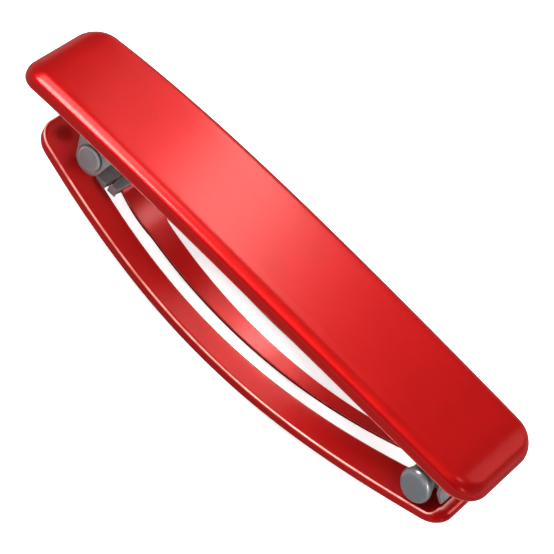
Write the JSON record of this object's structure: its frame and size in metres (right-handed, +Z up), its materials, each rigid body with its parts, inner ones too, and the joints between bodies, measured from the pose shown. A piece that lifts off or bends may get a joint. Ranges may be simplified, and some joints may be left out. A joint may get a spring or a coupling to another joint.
{
  "type": "hair barrette",
  "caption": "Hinged hair barrette: long rounded cover over a bowed slotted frame with a leaf tension spring, lug hinge and a sprung two-button squeeze catch.",
  "frame": {"origin": "under the middle of the cover, at the height of the frame's lowest point, where the barrette rests on a table", "axes": "+X along the barrette from the hinge end to the catch end, +Y across it away from the front button, +Z up through the cover"},
  "size_m": [0.08, 0.0178, 0.0167],
  "materials": {
    "red_cover": "metallic red lacquer, gloss",
    "red_frame": "metallic red lacquer, satin",
    "grey_steel": "dark nickel, satin",
    "pin_steel": "dark nickel, satin",
    "latch_steel": "dark nickel, satin",
    "button_steel": "dark nickel, polished",
    "zinc_plate": "zinc plated",
    "spring_wire": "bright spring wire"
  },
  "bodies": {
    "cover": {"top_cover": "red_cover", "base_bar": "zinc_plate", "base_bar_studs": "zinc_plate", "hinge_bracket": "grey_steel", "hinge_bracket_rivets": "zinc_plate", "hinge_pin": "pin_steel", "catch_bracket": "grey_steel", "catch_bracket_rivets": "zinc_plate", "button_spring": "spring_wire"},
    "frame": {"lower_frame": "red_frame", "hinge_knuckle": "grey_steel", "knuckle_rivets": "zinc_plate", "tension_spring": "red_frame", "clamp_bar_inner": "grey_steel", "clamp_bar_outer": "grey_steel", "clamp_rivets": "zinc_plate"},
    "front_button": {"front_latch": "latch_steel", "front_button_cap": "button_steel"},
    "rear_button": {"rear_latch": "latch_steel", "rear_button_cap": "button_steel"}
  },
  "joints": [
    {"name": "frame_hinge", "type": "hinge", "parent": "cover", "child": "frame", "pos_m": [-0.0263, 0, 0.00975], "axis": [0, 1, 0], "range_deg": [0, 36]},
    {"name": "front_button_slide", "type": "slide", "parent": "cover", "child": "front_button", "axis": [0, 1, 0], "range_m": [0, 0.001], "stiffness_N_per_m": 300, "springref_m": -0.002, "deforming": ["button_spring"]},
    {"name": "rear_button_slide", "type": "slide", "parent": "cover", "child": "rear_button", "axis": [0, -1, 0], "range_m": [0, 0.001], "stiffness_N_per_m": 300, "springref_m": -0.002}
  ]
}
